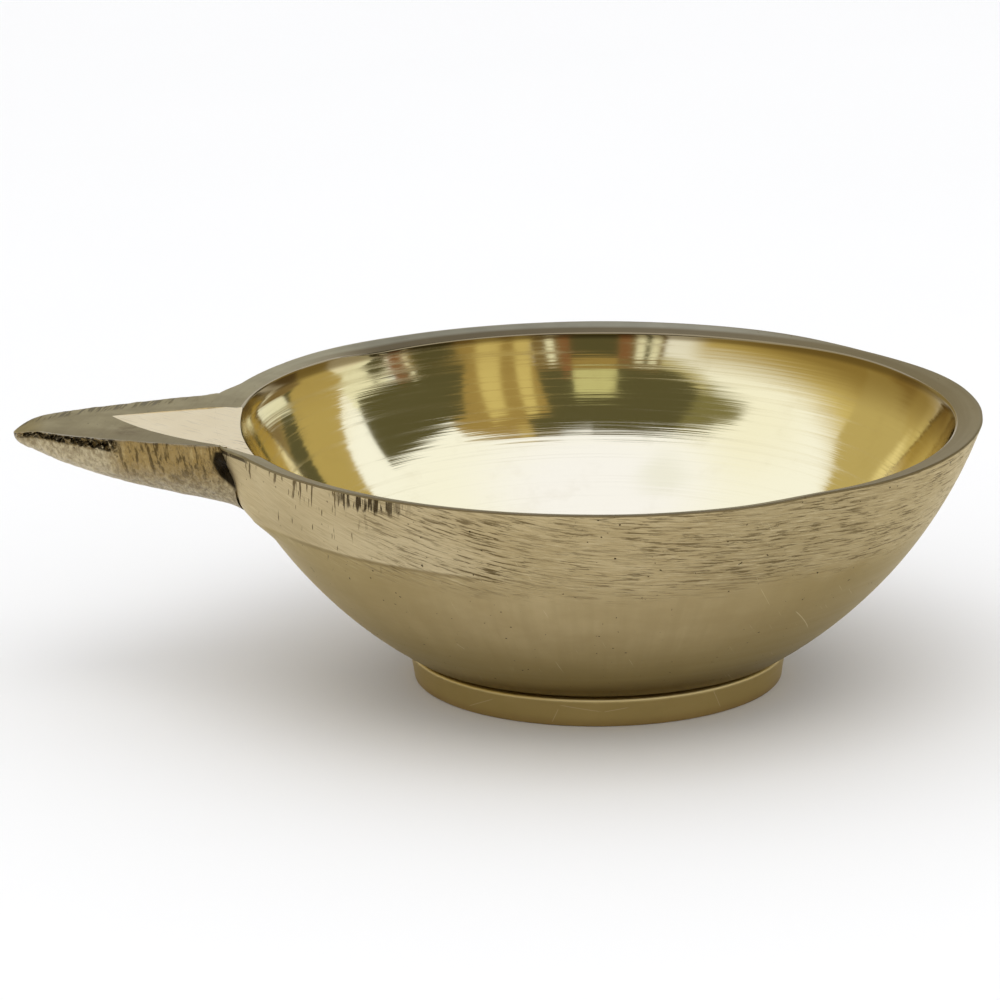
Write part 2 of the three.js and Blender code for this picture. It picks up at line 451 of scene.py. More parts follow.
def build_spout():
    rows, across, down, from_tip, length = spout_rows()
    moved = rough_spout(rows, across, down, from_tip, length)
    last = rows[-1]
    radius = np.hypot(last[:, 0], last[:, 1])
    on_top = down == 0
    extra = []
    for inwards, drop in ((0.25, 0.0), (0.6, 0.0), (0.9, 0.03), (1.15, 0.5)):
        scale = (radius - inwards) / radius
        degrees = np.degrees(np.arctan2(last[:, 1], last[:, 0]))
        lip = rim_height(radius - inwards, radius, degrees) + 0.015 - drop
        height = np.where(on_top, lip, last[:, 2] - 0.1 * inwards)
        extra.append(np.stack([last[:, 0] * scale, last[:, 1] * scale, height], -1))
    allrows = np.concatenate([moved, np.array(extra)])
    nose = (-TIP, 0, RIM_HEIGHT - NOSE_DROOP)
    mesh = closed_tube("spout_fine", allrows, nose, (-(RIM_RADIUS - 2.4), 0, RIM_HEIGHT - 3.3))
    columns = across.size
    column_kind = np.where(on_top & np.roll(on_top, -1), 1, 0)
    index = np.tile(column_kind, allrows.shape[0] - 1)
    kinds = np.concatenate([index, column_kind, np.zeros(columns, int)])
    mesh.polygons.foreach_set("material_index", kinds)
    return mesh


# ---------------------------------------------------------------- foot ring

def build_foot():
    base = FOOT_RADIUS - 0.4
    profile = [
        (14.4, 0.12), (14.55, 0.02), (14.8, 0), (base - 0.5, 0), (base - 0.18, 0.03), (base - 0.05, 0.12),
        (base, 0.3), (base + 0.08, 0.9), (base + 0.18, 1.5), (base + 0.28, 2.0), (base + 0.35, 2.3),
        (FOOT_RADIUS, 2.48), (FOOT_RADIUS - 0.02, 2.6), (FOOT_RADIUS - 0.08, 2.71),
        (FOOT_RADIUS - 0.18, 2.79), (FOOT_RADIUS - 0.3, 2.83), (FOOT_RADIUS - 0.55, FOOT_HEIGHT),
        (14.6, FOOT_HEIGHT), (14.05, 2.8),
        (14.0, 2.6), (14.2, 1.4), (14.35, 0.4), (14.4, 0.12),
    ]
    columns = FOOT_COLUMNS
    turn = np.radians(np.arange(columns) * 360 / columns)
    ring = []
    for radius, height in profile[:-1]:
        flat = np.stack([radius * np.cos(turn), radius * np.sin(turn), np.full(columns, height)], -1)
        worn = 0.03 * bumps(flat, (3, 3, 1.5), 2.2) * smooth(radius, 16, 17)
        flat[:, :2] *= (1 + worn / radius)[:, None]
        ring.append(flat)
    ring = np.array(ring)
    count = ring.shape[0]
    faces = grid_faces(count + 1, columns) % (count * columns)
    mesh = bpy.data.meshes.new("foot_fine")
    mesh.from_pydata(to_row_frame(ring.reshape(-1, 3)).tolist(), [], faces.tolist())
    mesh.update()
    return mesh


# ---------------------------------------------------------------- wick channel

def curve_between(start, bend, end, steps):
    share = np.linspace(0, 1, steps)[:, None]
    start, bend, end = map(np.array, (start, bend, end))
    return (1 - share) ** 2 * start + 2 * share * (1 - share) * bend + share ** 2 * end


def channel_plane():
    """Apex and unit normal of the channel's flat facet."""
    apex = np.array([*CHANNEL_APEX, RIM_HEIGHT])
    front = np.array([*CHANNEL_FRONT, RIM_HEIGHT - CHANNEL_FRONT_DEPTH])
    back = np.array([*CHANNEL_BACK, RIM_HEIGHT - CHANNEL_BACK_DEPTH])
    normal = np.cross(front - apex, back - apex)
    return apex, normal / np.linalg.norm(normal)


def channel_cutter(name, lift, materials, kind):
    """The body cut away above the channel's facet, raised by lift so that two cuts don't coincide."""
    outline = curve_between(CHANNEL_APEX, CHANNEL_BEND, CHANNEL_FRONT, CHANNEL_CURVE_POINTS)
    mouth = [(CHANNEL_MOUTH_X, CHANNEL_FRONT[1]), (CHANNEL_MOUTH_X, CHANNEL_BACK[1]), CHANNEL_BACK]
    outline = np.concatenate([outline, mouth])
    apex, normal = channel_plane()
    floor = apex[2] + lift - ((outline - apex[:2]) @ normal[:2]) / normal[2]
    count = len(outline)
    low = np.column_stack([outline, floor])
    high = np.column_stack([outline, np.full(count, RIM_HEIGHT + CUTTER_RISE)])
    faces = [list(range(count)), list(range(2 * count - 1, count - 1, -1))]
    faces += [[i, count + i, count + (i + 1) % count, (i + 1) % count] for i in range(count)]
    mesh = bpy.data.meshes.new(name)
    mesh.from_pydata(to_row_frame(np.concatenate([low, high])).tolist(), [], faces)
    for material in materials:
        mesh.materials.append(material)
    mesh.polygons.foreach_set("material_index", np.full(len(faces), kind))
    shape = bmesh.new()
    shape.from_mesh(mesh)
    bmesh.ops.recalc_face_normals(shape, faces=shape.faces)
    shape.to_mesh(mesh)
    shape.free()
    return new_piece(name, mesh)


def cut_channel(piece, lift, kind):
    cutter = channel_cutter("channel_cutter", lift, piece.data.materials, kind)
    cut = piece.modifiers.new("channel", "BOOLEAN")
    cut.operation = "DIFFERENCE"
    cut.solver = "EXACT"
    cut.object = cutter
    evaluated = piece.evaluated_get(bpy.context.evaluated_depsgraph_get())
    piece.data = bpy.data.meshes.new_from_object(evaluated)
    piece.modifiers.clear()
    bpy.data.objects.remove(cutter)


def shade(piece, degrees):
    """Smooth shading, sharp at creases and where one finish meets another at the channel."""
    shape = bmesh.new()
    shape.from_mesh(piece.data)
    channel = len(piece.data.materials) - 1
    limit = math.radians(degrees)
    for face in shape.faces:
        face.smooth = True
    for edge in shape.edges:
        if len(edge.link_faces) != 2:
            continue
        a, b = edge.link_faces
        at_cut = a.material_index != b.material_index and channel in (a.material_index, b.material_index)
        edge.smooth = not at_cut and edge.calc_face_angle(0) < limit
    shape.to_mesh(piece.data)
    shape.free()


# ---------------------------------------------------------------- node arithmetic

class Field:
    """A value in a node tree; arithmetic on it adds the nodes."""

    def __init__(self, tree, socket):
        self.tree = tree
        self.socket = socket

    def math(self, operation, *inputs):
        node = self.tree.nodes.new("ShaderNodeMath")
        node.operation = operation
        for socket, value in zip(node.inputs, inputs):
            connect(self.tree, value, socket)
        return Field(self.tree, node.outputs[0])

    def __add__(self, other):
        return self.math("ADD", self, other)

    def __radd__(self, other):
        return self.math("ADD", other, self)

    def __sub__(self, other):
        return self.math("SUBTRACT", self, other)

    def __rsub__(self, other):
        return self.math("SUBTRACT", other, self)

    def __mul__(self, other):
        return self.math("MULTIPLY", self, other)

    def __rmul__(self, other):
        return self.math("MULTIPLY", other, self)

    def __truediv__(self, other):
        return self.math("DIVIDE", self, other)

    def __pow__(self, other):
        return self.math("POWER", self, other)

    def size(self):
        return self.math("ABSOLUTE", self)

    def at_least(self, other):
        return self.math("MAXIMUM", self, other)

    def at_most(self, other):
        return self.math("MINIMUM", self, other)

    def step(self, low, high):
        """0 below low, 1 above high, smooth between them."""
        node = self.tree.nodes.new("ShaderNodeMapRange")
        node.interpolation_type = "SMOOTHSTEP"
        for socket, value in zip(node.inputs, (self, low, high, 0.0, 1.0)):
            connect(self.tree, value, socket)
        return Field(self.tree, node.outputs[0])


def connect(tree, value, socket):
    if isinstance(value, Field):
        tree.links.new(value.socket, socket)
    elif isinstance(value, tuple) and socket.type == "RGBA":
        socket.default_value = (*value, 1.0)
    else:
        socket.default_value = value


def vector(tree, x, y, z):
    node = tree.nodes.new("ShaderNodeCombineXYZ")
    for socket, value in zip(node.inputs, (x, y, z)):
        connect(tree, value, socket)
    return Field(tree, node.outputs[0])


def split(tree, field):
    node = tree.nodes.new("ShaderNodeSeparateXYZ")
    connect(tree, field, node.inputs[0])
    return [Field(tree, output) for output in node.outputs]


def grain(tree, x, y, z, detail=2.0, roughness=0.5, distortion=0.0):
    """Noise from about 0 to 1 at a point given in feature lengths."""
    node = tree.nodes.new("ShaderNodeTexNoise")
    connect(tree, vector(tree, x, y, z), node.inputs["Vector"])
    node.inputs["Scale"].default_value = 1.0
    node.inputs["Detail"].default_value = detail
    node.inputs["Roughness"].default_value = roughness
    node.inputs["Distortion"].default_value = distortion
    return Field(tree, node.outputs[0])


def mix(tree, share, first, second):
    node = tree.nodes.new("ShaderNodeMix")
    node.data_type = "RGBA"
    node.clamp_factor = True
    connect(tree, share, node.inputs["Factor"])
    connect(tree, first, node.inputs[6])
    connect(tree, second, node.inputs[7])
    return Field(tree, node.outputs[2])


class Surface:
    """One finish: its node tree and the point on the lamp in millimetres from the bowl's axis."""

    def __init__(self, name):
        self.material = bpy.data.materials.new(name)
        self.material.use_nodes = True
        self.tree = self.material.node_tree
        self.tree.nodes.clear()
        place = self.tree.nodes.new("ShaderNodeTexCoord")
        x, y, z = split(self.tree, Field(self.tree, place.outputs["Object"]))
        self.x = (x - AXIS_X) / MM
        self.y = y / MM
        self.z = z / MM
        self.radius = (self.x * self.x + self.y * self.y).math("SQRT", self.x * self.x + self.y * self.y)
        self.turn = self.x.math("ARCTAN2", self.y, self.x)

    def grain(self, size_x, size_y, size_z, seed=0.0, detail=2.0, roughness=0.5):
        return grain(self.tree, self.x / size_x + seed, self.y / size_y, self.z / size_z, detail, roughness)

    def mix(self, share, first, second):
        return mix(self.tree, share, first, second)

    def scratch(self, radius, start, end):
        """1 along a straight scratch between two points given as degrees and height, 0 elsewhere."""
        run = math.radians(end[0] - start[0]) * radius
        rise = end[1] - start[1]
        length = math.hypot(run, rise)
        across_run = (self.turn - math.radians(start[0])) * radius
        above = self.z - start[1]
        along = (across_run * run + above * rise) / length ** 2
        off = ((across_run * rise - above * run) / length).size()
        inside = 1.0 - off.step(0.4 * SCRATCH_WIDTH, SCRATCH_WIDTH)
        return inside * along.step(0, 0.1) * (1.0 - along.step(0.8, 1))

    def finish(self, colour, roughness, relief, metallic=1.0, anisotropic=None, edge_tint=(1, 1, 1)):
        """Puts colour, roughness and relief in mm on a surface; edge_tint colours glancing reflections."""
        shader = self.tree.nodes.new("ShaderNodeBsdfPrincipled")
        output = self.tree.nodes.new("ShaderNodeOutputMaterial")
        bump = self.tree.nodes.new("ShaderNodeBump")
        bump.inputs["Strength"].default_value = 1.0
        bump.inputs["Distance"].default_value = MM
        connect(self.tree, relief, bump.inputs["Height"])
        connect(self.tree, colour, shader.inputs["Base Color"])
        connect(self.tree, roughness, shader.inputs["Roughness"])
        connect(self.tree, metallic, shader.inputs["Metallic"])
        connect(self.tree, edge_tint, shader.inputs["Specular Tint"])
        self.tree.links.new(bump.outputs[0], shader.inputs["Normal"])
        if anisotropic is not None:
            shader.inputs["Anisotropic"].default_value = anisotropic
            around = vector(self.tree, 0.0 - self.y, self.x, 0.0)
            connect(self.tree, around, shader.inputs["Tangent"])
        self.tree.links.new(shader.outputs[0], output.inputs[0])
        return self.material


# ---------------------------------------------------------------- brass colours

# Polished inside
MIRROR = (0.90, 0.79, 0.46)
MIRROR_STAIN = (0.74, 0.62, 0.33)
MIRROR_RING = (0.66, 0.54, 0.27)
# Painted shade: the polished inside darker near the rim on the +X side
MIRROR_RIGHT_SHADE = (0.37, 0.26, 0.085)
MIRROR_EDGE = (0.50, 0.38, 0.17)
# Painted shade: a dark line just inside the rim's inner lip
MIRROR_LIP_SHADE = (0.24, 0.175, 0.075)

# Ground rim and top of the spout
GROUND_DARK = (0.25, 0.205, 0.105)
GROUND_LIGHT = (0.335, 0.282, 0.155)
GROUND_EDGE = (1.0, 0.975, 0.86)
GROUND_SPECK = (0.05, 0.04, 0.02)
# Painted light and shade on the ground rim: lighter on the far side, darker on the inner half, the +X side
# and the near side
RIM_FAR_LIGHT = (0.47, 0.44, 0.31)
RIM_INNER_SHADE = (0.165, 0.115, 0.045)
RIM_RIGHT_SHADE = (0.18, 0.13, 0.045)
RIM_NEAR_SHADE = (0.155, 0.11, 0.045)
RIM_LINE = (0.20, 0.155, 0.08)
# Painted shade: the top of the spout darker on its near side
LAND_NEAR_SHADE = (0.15, 0.11, 0.05)
LAND_STAIN = (0.11, 0.065, 0.02)
LAND_WORN = (0.58, 0.50, 0.32)
LAND_TICK = (0.08, 0.06, 0.03)

# Turned and filed outside
TURNED_EDGE = (1.0, 0.955, 0.80)
TURNED_DARK = (0.44, 0.345, 0.18)
TURNED_LIGHT = (0.51, 0.41, 0.225)
TURNED_DRIFT = (0.40, 0.315, 0.16)
FILED_BAND = (0.545, 0.445, 0.265)
FILED_LOW = (0.66, 0.56, 0.355)
# Painted shade: the outside darker on the left below the filed band
TURNED_LEFT_SHADE = (0.33, 0.245, 0.085)
# Painted shade: the upper outside darker on the +X side
FILED_RIGHT_SHADE = (0.30, 0.235, 0.115)
HAIR_LIGHT = (0.60, 0.51, 0.32)
HAIR_DARK = (0.30, 0.23, 0.11)
# Painted highlight: lighter strokes beside the file streaks
STREAK_HIGHLIGHT = (0.68, 0.58, 0.36)
FILE_MARK = (0.115, 0.078, 0.03)
# Painted shadow: a thin dark line under the step at the filed band's lower edge
BAND_EDGE_SHADOW = (0.20, 0.15, 0.07)
# Painted shade: the lower body darker towards the foot
TURNED_LOW_SHADE = (0.285, 0.21, 0.066)
# Painted shade: the turned outside darker on the +X side
TURNED_RIGHT_SHADE = (0.285, 0.21, 0.078)
SEAT_SHADE = (0.13, 0.09, 0.035)
SCUFF = (0.66, 0.57, 0.36)
OUTSIDE_SCRATCH = (0.80, 0.71, 0.48)
NICK = (0.04, 0.024, 0.008)

# Cast side of the spout
CAST_DARK = (0.27, 0.21, 0.115)
CAST_LIGHT = (0.56, 0.475, 0.30)
CAST_PALE = (0.66, 0.57, 0.38)
DRIP_BROWN = (0.34, 0.23, 0.075)
DRIP_DARK = (0.09, 0.06, 0.022)
DRIP_LIGHT = (0.60, 0.47, 0.22)
CAST_SCALE = (0.19, 0.14, 0.065)
CAST_PIT = (0.08, 0.06, 0.03)
CAVITY_DARK = (0.02, 0.014, 0.006)
CAVITY_CRUST = (0.24, 0.17, 0.07)
# Painted shadow in the cleft where the spout meets the bowl
CLEFT_SHADOW = (0.014, 0.01, 0.005)

# Scraped channel
SCRAPED_DARK = (0.87, 0.72, 0.42)
SCRAPED_LIGHT = (0.98, 0.84, 0.53)
SCRAPED_MARK = (0.30, 0.22, 0.11)

# Foot ring
FOOT_DARK = (0.42, 0.315, 0.115)
FOOT_LIGHT = (0.53, 0.40, 0.165)
# Painted highlight on the foot ring's top edge
FOOT_EDGE_HIGHLIGHT = (0.56, 0.455, 0.235)
FOOT_LOW_BROWN = (0.33, 0.20, 0.09)
FOOT_SCRATCH = (0.78, 0.66, 0.42)


# ---------------------------------------------------------------- finishes

def polished_inside():
    s = Surface("polished_inside")
    rings = grain(s.tree, s.radius / 0.42, s.x / 45, s.y / 45, 3.0, 0.6)
    fine = grain(s.tree, s.radius / 0.11, s.x / 20, s.y / 20, 2.0, 0.6)
    broad = grain(s.tree, s.radius / 2.4, s.x / 60, s.y / 60, 1.0, 0.5)
    relief = 0.013 * rings + 0.0025 * fine + 0.015 * broad
    stain = s.grain(4, 4, 4, 7.7, 4.0, 0.6).step(0.5, 0.72)
    near_rim = s.radius.step(30.3, 32.4)
    worn_rings = grain(s.tree, s.radius / 0.23 + 40, s.x / 30, s.y / 30, 2.0, 0.7).step(0.48, 0.72)
    colour = s.mix(stain * 0.2, MIRROR, MIRROR_STAIN)
    colour = s.mix(worn_rings * 0.08, colour, MIRROR_RING)
    # Painted shade: darker near the rim on the +X side of the inside
    colour = s.mix(near_rim * s.x.step(0, 28) * 0.8, colour, MIRROR_RIGHT_SHADE)
    colour = s.mix(near_rim * 0.25, colour, MIRROR_EDGE)
    # Painted shade: a dark line just inside the rim's inner lip
    colour = s.mix(s.radius.step(32.35, 32.6) * 0.9, colour, MIRROR_LIP_SHADE)
    roughness = 0.04 + 0.05 * fine + 0.03 * stain + 0.11 * worn_rings
    return s.finish(colour, roughness, relief, anisotropic=0.4)


def ground_colour(s):
    """Grey-tan ground metal with a few dark specks, shared by the rim and the top of the spout."""
    cloud = s.grain(3, 3, 3, 8.8, 3.0, 0.6)
    specks = s.grain(0.5, 0.6, 0.5, 3.3, 2.0, 0.6).step(0.70, 0.78)
    colour = s.mix(cloud.step(0.3, 0.7), GROUND_DARK, GROUND_LIGHT)
    return s.mix(specks * 0.8, colour, GROUND_SPECK), specks


def ground_rim():
    s = Surface("ground_rim")
    along = grain(s.tree, s.radius / 0.3, s.x / 8, s.y / 8, 2.0, 0.6)
    colour, specks = ground_colour(s)
    # Painted light and shade: a lighter far side, and a darker inner half, +X side and near side of the rim
    shaded_inner_half = (1.0 - s.radius.step(33.6, 34.2)) * s.x.step(-30, -20)
    lit_far_side = s.y.step(5, 25)
    shaded_near_side = 1.0 - s.y.step(-24, -6)
    colour = s.mix(lit_far_side * 0.5, colour, RIM_FAR_LIGHT)
    colour = s.mix(shaded_inner_half * 0.85, colour, RIM_INNER_SHADE)
    colour = s.mix(s.x.step(8, 30) * 0.8, colour, RIM_RIGHT_SHADE)
    colour = s.mix(shaded_near_side * 0.8, colour, RIM_NEAR_SHADE)
    colour = s.mix(along.step(0.5, 0.8) * 0.25, colour, RIM_LINE)
    roughness = 0.36 + 0.1 * along
    relief = 0.005 * along - 0.04 * specks
    return s.finish(colour, roughness, relief, edge_tint=GROUND_EDGE)


def filed_and_turned():
    s = Surface("filed_and_turned")
    degrees = s.turn * (180 / math.pi)
    away = degrees - BAND_EDGE_DIRECTION
    lower_edge = BAND_EDGE_HEIGHT - BAND_EDGE_DROP * away * away
    side = degrees.step(-176, -172) * (1.0 - degrees.step(-120, -106))
    band = side * (s.z - lower_edge).step(-0.12, 0.12)
    # Painted shadow: a thin dark line along the band's lower edge
    edge_shadow_line = side * (1.0 - (s.z - lower_edge + 0.1).size().step(0.05, 0.3)) * degrees.step(-158, -148)
    upright = side * (1.0 - degrees.step(-137, -127))
    ragged = s.z + 2.5 * s.grain(3, 3, 3, 6.6, 2.0, 0.5) - 1.2
    upper = ragged.step(15.0, 18.0)

    left_part = s.x.at_most(0.0)
    tilted = s.z + STREAK_TILT * s.x - STREAK_BEND * left_part * left_part
    streaks = grain(s.tree, s.x / 2.5, s.y / 2.5, tilted / 0.19, 3.0, 0.65, 0.15)
    hairs = grain(s.tree, s.x / 2.0, s.y / 2.0, tilted / 0.10 + 5, 2.0, 0.6)
    dense = s.grain(5, 5, 2.4, 1.9, 2.0, 0.6).step(0.36, 0.58)
    scores = grain(s.tree, (s.x + 0.15 * s.grain(2, 2, 2, 3.0)) / 0.27, s.y / 60, s.z / 3.0, 2.0, 0.6)
    under_rim = s.z.step(20.5, 25.0)
    nicks = grain(s.tree, s.x / 0.33, s.y / 20, s.z / 4.0, 2.0, 0.6)
    nick_foot = s.z + 2.2 * s.grain(0.35, 9, 9, 1.2, 1.0)
    nick_zone = degrees.step(-135.5, -132.5) * (1.0 - degrees.step(-126, -120)) * nick_foot.step(24.2, 24.8)
    crack = (degrees + 162.0).size().step(5.0, 5.9) + (1.0 - s.z.step(24.2, 24.3))
    crack = 1.0 - (crack + 0.4 * s.grain(0.5, 0.5, 9, 2.6).step(0.58, 0.68)).at_most(1.0)
    scuffs = grain(s.tree, (s.x + 0.5 * s.z) / 0.11, (s.z - 0.5 * s.x) / 3.2, s.y / 40, 1.0, 0.5)
    scuff = scuffs.step(0.74, 0.79) * s.grain(6, 6, 6, 5.5).step(0.45, 0.6)
    lines = grain(s.tree, s.x / 30, s.y / 30, s.z / 0.30 + 11, 3.0, 0.6)
    cloud = s.grain(7, 7, 4, 4.4, 4.0, 0.6)
    drift = grain(s.tree, s.turn * 35 / 1.6, s.z / 14, 3.7, 3.0, 0.6)
    pits = s.grain(0.45, 0.45, 0.45, 9.3, 1.0, 0.5).step(0.755, 0.79)

    cut = (1.0 - streaks.step(0.385, 0.475)) * (0.35 + 0.65 * dense) * (1.0 - upright)
    cut = cut * (1.0 - 0.2 * s.x.step(-14, -2)) * (0.65 + 0.35 * degrees.step(-127, -112))
    score_limit = 0.27 + 0.12 * under_rim
    score = (1.0 - (scores - score_limit).step(0.0, 0.05)) * upright
    marks = (cut + score).at_most(1.0) * upper
    nick = nick_zone * (1.0 - nicks.step(0.455, 0.505))

    colour = s.mix(cloud.step(0.3, 0.7), TURNED_DARK, TURNED_LIGHT)
    colour = s.mix((1.0 - upper) * drift.step(0.35, 0.65) * 0.35, colour, TURNED_DRIFT)
    colour = s.mix(band * 0.7, colour, FILED_BAND)
    above_edge = band * (1.0 - (s.z - lower_edge).step(1.5, 5.0)) * degrees.step(-150, -138)
    colour = s.mix(above_edge * 0.6, colour, FILED_LOW)
    # Painted shade: darker on the left side below the filed band
    shaded_below_left = (1.0 - s.x.step(-26, -10)) * (1.0 - band)
    colour = s.mix(shaded_below_left * 0.45, colour, TURNED_LEFT_SHADE)
    # Painted shade: the upper outside darker on the +X side
    shaded_right = s.x.step(2, 14) * (1.0 - 0.55 * s.x.step(16, 26))
    colour = s.mix(shaded_right * upper * 0.42, colour, FILED_RIGHT_SHADE)
    colour = s.mix(upper * hairs.step(0.5, 0.7) * 0.35, colour, HAIR_LIGHT)
    colour = s.mix(upper * (1.0 - hairs.step(0.34, 0.5)) * 0.35, colour, HAIR_DARK)
    # Painted highlight along the file streaks in the upper band
    colour = s.mix(upper * streaks.step(0.58, 0.72) * 0.5, colour, STREAK_HIGHLIGHT)
    colour = s.mix(marks * 0.9, colour, FILE_MARK)
    # Painted shadow line under the filed band's step
    colour = s.mix(edge_shadow_line * 0.55, colour, BAND_EDGE_SHADOW)
    # Painted shade: darker towards the foot
    low = 1.0 - s.z.step(4.0, 13.0)
    colour = s.mix(low * 0.85, colour, TURNED_LOW_SHADE)
    # Painted shade: the lower outside darker on the +X side
    colour = s.mix(s.x.step(2, 24) * (1.0 - upper) * 0.8, colour, TURNED_RIGHT_SHADE)
    seat = 1.0 - s.z.step(3.3, 5.4 + 2.0 * s.x.step(-6, 14))
    colour = s.mix(seat * 0.85, colour, SEAT_SHADE)
    colour = s.mix(scuff * (1.0 - band) * 0.6, colour, SCUFF)
    for start, end in OUTSIDE_SCRATCHES:
        colour = s.mix(s.scratch(BODY_SCRATCH_RADIUS, start, end) * 0.5, colour, OUTSIDE_SCRATCH)
    colour = s.mix((nick + pits + crack).at_most(1.0) * 0.95, colour, NICK)
    roughness = 0.32 + 0.1 * lines + 0.12 * marks + 0.03 * upper
    relief = 0.004 * lines * (1.0 - upper) - 0.05 * pits - 0.12 * nick
    relief = relief + upper * (0.05 * streaks * (1.0 - upright) + 0.009 * hairs) - 0.035 * marks
    return s.finish(colour, roughness, relief, edge_tint=TURNED_EDGE)


def cast_side():
    s = Surface("cast_side")
    below_top = RIM_HEIGHT - s.z
    from_tip = s.x + TIP
    slant = s.x + 0.15 * s.z
    lumps = grain(s.tree, slant / 0.42, s.y / 0.8, s.z / 0.7, 4.0, 0.7)
    drips = grain(s.tree, slant / 0.42, s.y / 1.2, s.z / 1.7, 3.0, 0.6)
    pits = s.grain(0.3, 0.4, 0.35, 5.1, 2.0, 0.6).step(0.66, 0.74)
    scale = grain(s.tree, slant / 0.24, s.y / 0.6, s.z / 0.42, 2.0, 0.6)
    crust = s.grain(0.5, 0.7, 0.4, 6.4, 2.0, 0.6).step(0.46, 0.6)
    drip_zone = (1.0 - below_top.step(1.6, 5.2)) * from_tip.step(8.0, 10.5)
    reach = CAVITY_START + CAVITY_SPREAD * from_tip
    intake = (1.0 - from_tip / NOSE_LENGTH).at_least(0.0)
    below_edge = below_top - NOSE_DROOP * intake * intake
    cavity = (1.0 - (below_edge - reach).step(-0.05, 0.3)) * (1.0 - from_tip.step(8.8, 10.2))
    cavity = cavity * s.grain(0.35, 0.5, 0.3, 2.2, 2.0, 0.6).step(0.38, 0.5)
    body = BODY_CENTRE[0] + (BODY_ARC_RADIUS ** 2 - (BODY_CENTRE[1] - s.z) ** 2.0) ** 0.5
    bulge = ROOT_BULGE * s.z.step(*ROOT_BULGE_FOOT) * (1.0 - s.z.step(*ROOT_BULGE_TOP))
    body = body + BOSS_HEIGHT * s.z.step(BOSS_BOTTOM, RIM_HEIGHT) + 0.95 * bulge
    width = CLEFT_WIDTH + CLEFT_SWELL * below_top.step(0, CLEFT_MIDDLE)
    width = width * (1.0 - below_top.step(CLEFT_MIDDLE + 0.9, CLEFT_LENGTH + 0.3))
    # Painted shadow mask: the cleft where the spout meets the bowl, on its near side
    cleft = 1.0 - (s.radius - body - width).step(-0.15, 0.3)
    cleft = cleft * (0.0 - s.y).step(2, 5) * below_top.step(0.3, 0.6)
    cleft = cleft * (1.0 - 0.7 * below_top.step(CLEFT_LENGTH - 0.3, CLEFT_LENGTH + 0.7))

    colour = s.mix(lumps.step(0.33, 0.66), CAST_DARK, CAST_LIGHT)
    colour = s.mix((1.0 - from_tip.step(7, 11)) * below_top.step(1, 2.5) * 0.35, colour, CAST_PALE)
    colour = s.mix(drip_zone * 0.85, colour, DRIP_BROWN)
    colour = s.mix(drip_zone * (1.0 - drips.step(0.38, 0.5)) * 0.85, colour, DRIP_DARK)
    colour = s.mix(drip_zone * drips.step(0.58, 0.7) * 0.4, colour, DRIP_LIGHT)
    colour = s.mix((1.0 - scale.step(0.36, 0.48)) * 0.4, colour, CAST_SCALE)
    colour = s.mix(pits * 0.6, colour, CAST_PIT)
    colour = s.mix(cavity * 0.95, colour, s.mix(crust, CAVITY_DARK, CAVITY_CRUST))
    # Painted shadow: near-black in the cleft at the spout's root
    colour = s.mix(cleft * 0.98, colour, CLEFT_SHADOW)
    roughness = 0.36 + 0.2 * lumps
    relief = 0.15 * lumps + 0.06 * scale + 0.10 * drips * drip_zone - 0.05 * pits - 0.15 * cavity
    return s.finish(colour, roughness, relief)


def ground_top():
    s = Surface("ground_top")
    from_tip = s.x + TIP
    colour, specks = ground_colour(s)
    half = ROOT_HALF_WIDTH * (from_tip / (TIP - ROOT_DISTANCE)).at_least(0.0) ** WIDTH_TAPER
    edge_gap = half - s.y.size()
    ticks = grain(s.tree, (s.x - 0.25 * s.y) / 0.30, s.y / 5, 4.2, 2.0, 0.6)
    tick_zone = (1.0 - edge_gap.step(1.6, 2.8)) * s.y.step(0.0, 1.5) * (1.0 - from_tip.step(15, 18))
    tick = (1.0 - ticks.step(0.44, 0.5)) * tick_zone
    aside = (s.x - STAIN_PLACE[0]) / STAIN_SIZE[0]
    along = (s.y - STAIN_PLACE[1]) / STAIN_SIZE[1]
    patchy = s.grain(0.9, 0.9, 0.9, 4.1, 3.0, 0.6).step(0.3, 0.6)
    stain = (1.0 - (aside * aside + along * along).step(0.1, 1.0)) * patchy
    worn = 1.0 - edge_gap.step(0.05, 0.4)
    # Painted shade: darker on the near side of the spout's top
    shaded_near_land = (0.0 - s.y).step(1.0, 4.5)
    colour = s.mix(shaded_near_land * 0.5, colour, LAND_NEAR_SHADE)
    colour = s.mix(stain * 0.6, colour, LAND_STAIN)
    colour = s.mix(worn * 0.5, colour, LAND_WORN)
    colour = s.mix(tick * 0.8, colour, LAND_TICK)
    roughness = 0.36 + 0.1 * ticks
    relief = 0.004 * ticks - 0.05 * specks - 0.03 * tick
    return s.finish(colour, roughness, relief, edge_tint=GROUND_EDGE)


def scraped_channel():
    s = Surface("scraped_channel")
    diagonal = s.x * 0.55 + s.y * 0.83
    scratches = grain(s.tree, diagonal / 0.22, (s.x - 0.7 * s.y) / 3.5, 7.1, 2.0, 0.6)
    scored = s.x.step(-38, -34) * (0.0 - s.y).step(2.5, 5)
    cloud = s.grain(2.5, 2.5, 2.5, 2.0, 3.0, 0.55)
    scratch = (1.0 - scratches.step(0.35, 0.44)) * (0.2 + 0.8 * scored)
    colour = s.mix(cloud, SCRAPED_DARK, SCRAPED_LIGHT)
    colour = s.mix(scratch * 0.8, colour, SCRAPED_MARK)
    roughness = 0.34 + 0.1 * scratches
    relief = 0.006 * scratches - 0.03 * scratch
    return s.finish(colour, roughness, relief)


